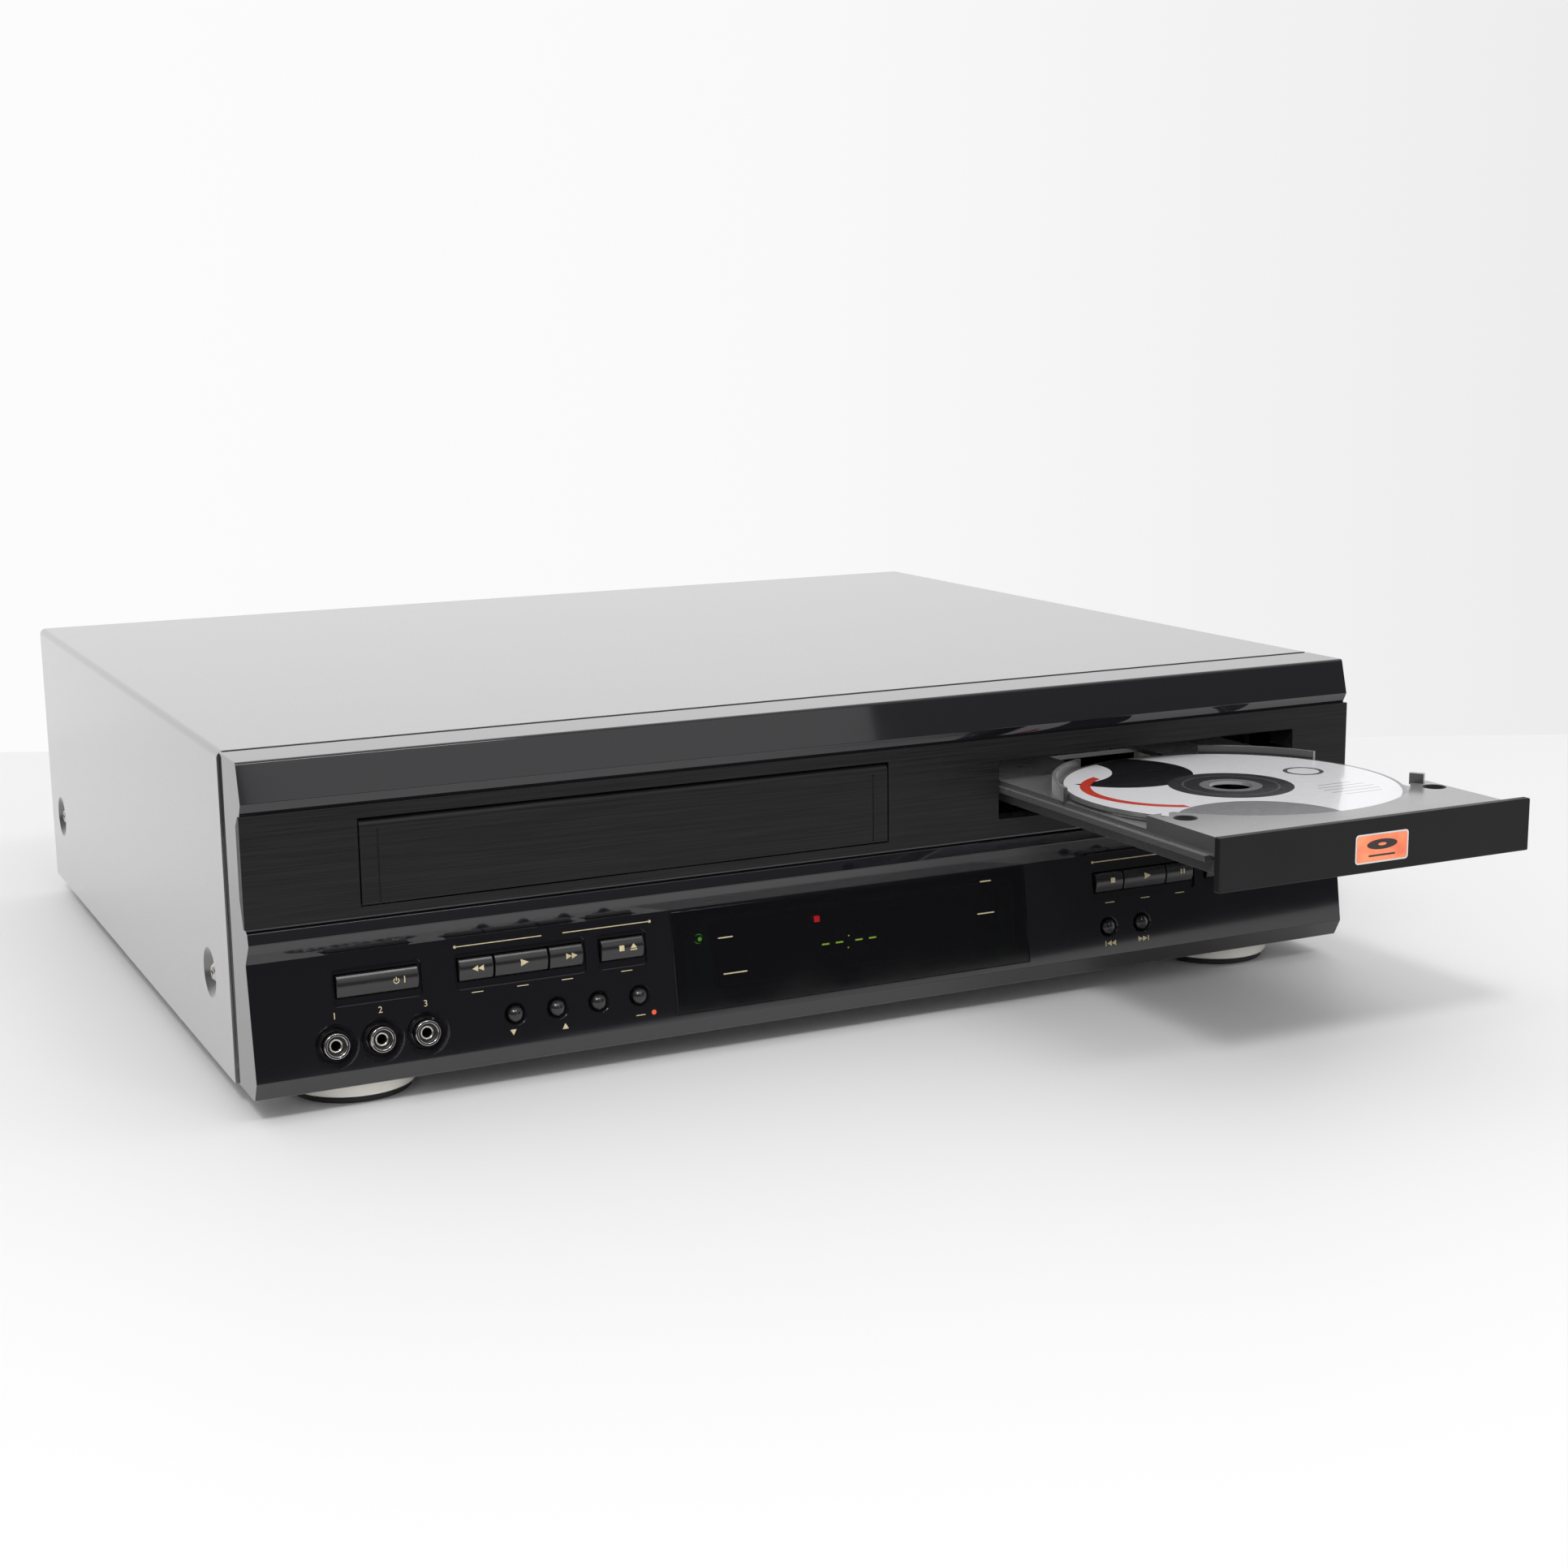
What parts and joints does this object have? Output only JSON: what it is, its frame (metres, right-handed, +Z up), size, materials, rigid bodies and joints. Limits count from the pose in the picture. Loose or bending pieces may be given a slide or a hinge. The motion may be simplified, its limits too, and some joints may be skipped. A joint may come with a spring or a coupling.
{
  "type": "disc and cassette player",
  "caption": "Shelf player for discs and video cassettes with a sliding disc tray, cassette flap, push keys, sockets and working mechanisms.",
  "frame": {"origin": "on the floor under the middle of the whole object with its tray open", "axes": "+X to the right seen from the front, +Y to the back, +Z up"},
  "size_m": [0.43, 0.4936, 0.1181],
  "materials": {
    "cover_paint": "satin",
    "galvanised": "satin",
    "rear_paint": "satin",
    "front_black": "gloss",
    "trim_brushed": "brushed",
    "smoke_window": "gloss",
    "key_black": "gloss",
    "door_brushed": "brushed",
    "tray_black": "matte",
    "foot_plastic": "satin",
    "jack_block": "matte",
    "nickel": "polished",
    "board_green": "satin",
    "display_tube": "gloss",
    "mech_steel": "satin",
    "drum_metal": "machined",
    "mech_plastic": "matte",
    "gear_white": "satin",
    "roller_rubber": "matte",
    "belt_rubber": "matte",
    "disc_plastic": "gloss",
    "screw_steel": "satin"
  },
  "bodies": {
    "case": {"top_cover": "cover_paint", "bottom_chassis": "galvanised", "foot_front_left": "foot_plastic", "foot_front_right": "foot_plastic", "foot_rear_left": "foot_plastic", "foot_rear_right": "foot_plastic", "front_bezel": "front_black", "trim_panel": "trim_brushed", "display_window": "smoke_window", "front_jacks": "jack_block", "front_board": "board_green", "display_module": "display_tube", "vcr_deck": "mech_steel", "holder_frame": "mech_steel", "lower_drum": "drum_metal", "tape_heads": "drum_metal", "loader_frame": "mech_plastic", "loader_motor": "mech_steel", "tray_belt": "belt_rubber", "traverse_base": "mech_plastic", "clamp_bridge": "galvanised", "rear_panel": "rear_paint", "rear_jacks": "jack_block", "aerial_unit": "nickel", "power_inlet": "jack_block", "main_board": "board_green", "power_board": "board_green", "case_screws": "screw_steel"},
    "tray": {"disc_tray": "tray_black", "tray_door": "tray_black"},
    "disc": {"disc": "disc_plastic"},
    "tray_pinion": {"tray_pinion": "gear_white"},
    "pulley_gear": {"pulley_gear": "gear_white"},
    "motor_pulley": {"motor_pulley": "gear_white"},
    "pickup_sled": {"pickup_sled": "mech_plastic"},
    "turntable": {"turntable": "mech_plastic"},
    "clamper": {"clamper": "mech_plastic"},
    "cassette_door": {"cassette_door": "door_brushed"},
    "cassette_holder": {"cassette_holder": "mech_steel"},
    "upper_drum": {"upper_drum": "drum_metal"},
    "capstan": {"capstan": "mech_steel"},
    "supply_reel": {"supply_reel": "mech_plastic"},
    "take_up_reel": {"take_up_reel": "mech_plastic"},
    "pinch_roller": {"pinch_roller": "roller_rubber"},
    "tape_guides": {"tape_guides": "drum_metal"},
    "power_key": {"power_key": "key_black"},
    "rewind_key": {"rewind_key": "key_black"},
    "vcr_play_key": {"vcr_play_key": "key_black"},
    "fast_forward_key": {"fast_forward_key": "key_black"},
    "stop_eject_key": {"stop_eject_key": "key_black"},
    "disc_stop_key": {"disc_stop_key": "key_black"},
    "disc_play_key": {"disc_play_key": "key_black"},
    "disc_pause_key": {"disc_pause_key": "key_black"},
    "open_close_key": {"open_close_key": "key_black"},
    "channel_down_button": {"channel_down_button": "key_black"},
    "channel_up_button": {"channel_up_button": "key_black"},
    "vcr_tv_button": {"vcr_tv_button": "key_black"},
    "record_button": {"record_button": "key_black"},
    "skip_back_button": {"skip_back_button": "key_black"},
    "skip_forward_button": {"skip_forward_button": "key_black"}
  },
  "joints": [
    {"name": "tray_slide", "type": "slide", "parent": "case", "child": "tray", "axis": [0, 1, 0], "range_m": [0, 0.129]},
    {"name": "disc_spin", "type": "hinge", "parent": "tray", "child": "disc", "pos_m": [0.1238, -0.16715, 0.0853], "axis": [0, 0, 1], "continuous": true},
    {"name": "pinion_spin", "type": "hinge", "parent": "case", "child": "tray_pinion", "pos_m": [0.1578, -0.07715, 0.0699], "axis": [0, 0, 1], "range_deg": [0, 740.12]},
    {"name": "pulley_spin", "type": "hinge", "parent": "case", "child": "pulley_gear", "pos_m": [0.1278, -0.07715, 0.0699], "axis": [0, 0, 1], "range_deg": [-2218.35, 0]},
    {"name": "motor_spin", "type": "hinge", "parent": "case", "child": "motor_pulley", "pos_m": [0.0918, -0.07715, 0.0639], "axis": [0, 0, 1], "range_deg": [-7022.6, 0]},
    {"name": "sled_slide", "type": "slide", "parent": "case", "child": "pickup_sled", "axis": [0, 1, 0], "range_m": [0, 0.034]},
    {"name": "turntable_spin", "type": "hinge", "parent": "case", "child": "turntable", "pos_m": [0.1238, -0.03815, 0.0699], "axis": [0, 0, 1], "continuous": true},
    {"name": "clamper_spin", "type": "hinge", "parent": "case", "child": "clamper", "pos_m": [0.1238, -0.03815, 0.0929], "axis": [0, 0, 1], "continuous": true},
    {"name": "cassette_door_swing", "type": "hinge", "parent": "case", "child": "cassette_door", "pos_m": [-0.082, -0.11505, 0.0937], "axis": [1, 0, 0], "range_deg": [0, 78], "stiffness_Nm_per_rad": 0.003, "springref_deg": -22.92},
    {"name": "holder_slide", "type": "slide", "parent": "case", "child": "cassette_holder", "axis": [0, 1, 0], "range_m": [0, 0.046]},
    {"name": "drum_spin", "type": "hinge", "parent": "case", "child": "upper_drum", "pos_m": [-0.082, 0.05885, 0.0445], "axis": [0, -0.0958, 0.9954], "continuous": true},
    {"name": "capstan_spin", "type": "hinge", "parent": "case", "child": "capstan", "pos_m": [-0.03, 0.02885, 0.0395], "axis": [0, 0, 1], "continuous": true},
    {"name": "supply_reel_spin", "type": "hinge", "parent": "case", "child": "supply_reel", "pos_m": [-0.128, -0.03515, 0.0395], "axis": [0, 0, 1], "continuous": true},
    {"name": "take_up_reel_spin", "type": "hinge", "parent": "case", "child": "take_up_reel", "pos_m": [-0.036, -0.03515, 0.0395], "axis": [0, 0, 1], "continuous": true},
    {"name": "pinch_roller_swing", "type": "hinge", "parent": "case", "child": "pinch_roller", "pos_m": [-0.006, 0.01885, 0.0475], "axis": [0, 0, 1], "range_deg": [-20, 0], "stiffness_Nm_per_rad": 0.004, "springref_deg": 17.19},
    {"name": "guides_slide", "type": "slide", "parent": "case", "child": "tape_guides", "axis": [0, 1, 0], "range_m": [0, 0.038]},
    {"name": "power_key_press", "type": "slide", "parent": "case", "child": "power_key", "axis": [0, 0.9892, -0.1465], "range_m": [0, 0.0008], "stiffness_N_per_m": 400, "springref_m": -0.0005},
    {"name": "rewind_key_press", "type": "slide", "parent": "case", "child": "rewind_key", "axis": [0, 0.9892, -0.1465], "range_m": [0, 0.0008], "stiffness_N_per_m": 400, "springref_m": -0.0005},
    {"name": "vcr_play_key_press", "type": "slide", "parent": "case", "child": "vcr_play_key", "axis": [0, 0.9892, -0.1465], "range_m": [0, 0.0008], "stiffness_N_per_m": 400, "springref_m": -0.0005},
    {"name": "fast_forward_key_press", "type": "slide", "parent": "case", "child": "fast_forward_key", "axis": [0, 0.9892, -0.1465], "range_m": [0, 0.0008], "stiffness_N_per_m": 400, "springref_m": -0.0005},
    {"name": "stop_eject_key_press", "type": "slide", "parent": "case", "child": "stop_eject_key", "axis": [0, 0.9892, -0.1465], "range_m": [0, 0.0008], "stiffness_N_per_m": 400, "springref_m": -0.0005},
    {"name": "disc_stop_key_press", "type": "slide", "parent": "case", "child": "disc_stop_key", "axis": [0, 0.9892, -0.1465], "range_m": [0, 0.0008], "stiffness_N_per_m": 400, "springref_m": -0.0005},
    {"name": "disc_play_key_press", "type": "slide", "parent": "case", "child": "disc_play_key", "axis": [0, 0.9892, -0.1465], "range_m": [0, 0.0008], "stiffness_N_per_m": 400, "springref_m": -0.0005},
    {"name": "disc_pause_key_press", "type": "slide", "parent": "case", "child": "disc_pause_key", "axis": [0, 0.9892, -0.1465], "range_m": [0, 0.0008], "stiffness_N_per_m": 400, "springref_m": -0.0005},
    {"name": "open_close_key_press", "type": "slide", "parent": "case", "child": "open_close_key", "axis": [0, 0.9892, -0.1465], "range_m": [0, 0.0008], "stiffness_N_per_m": 400, "springref_m": -0.0005},
    {"name": "channel_down_button_press", "type": "slide", "parent": "case", "child": "channel_down_button", "axis": [0, 0.9892, -0.1465], "range_m": [0, 0.0008], "stiffness_N_per_m": 400, "springref_m": -0.0005},
    {"name": "channel_up_button_press", "type": "slide", "parent": "case", "child": "channel_up_button", "axis": [0, 0.9892, -0.1465], "range_m": [0, 0.0008], "stiffness_N_per_m": 400, "springref_m": -0.0005},
    {"name": "vcr_tv_button_press", "type": "slide", "parent": "case", "child": "vcr_tv_button", "axis": [0, 0.9892, -0.1465], "range_m": [0, 0.0008], "stiffness_N_per_m": 400, "springref_m": -0.0005},
    {"name": "record_button_press", "type": "slide", "parent": "case", "child": "record_button", "axis": [0, 0.9892, -0.1465], "range_m": [0, 0.0008], "stiffness_N_per_m": 400, "springref_m": -0.0005},
    {"name": "skip_back_button_press", "type": "slide", "parent": "case", "child": "skip_back_button", "axis": [0, 0.9892, -0.1465], "range_m": [0, 0.0008], "stiffness_N_per_m": 400, "springref_m": -0.0005},
    {"name": "skip_forward_button_press", "type": "slide", "parent": "case", "child": "skip_forward_button", "axis": [0, 0.9892, -0.1465], "range_m": [0, 0.0008], "stiffness_N_per_m": 400, "springref_m": -0.0005}
  ],
  "couplings": [
    {"joint": "pinion_spin", "follows": "tray_slide", "rad_per_m": 100},
    {"joint": "pulley_spin", "follows": "tray_slide", "rad_per_m": -300},
    {"joint": "motor_spin", "follows": "tray_slide", "rad_per_m": -950},
    {"joint": "clamper_spin", "follows": "turntable_spin", "ratio": 1}
  ]
}
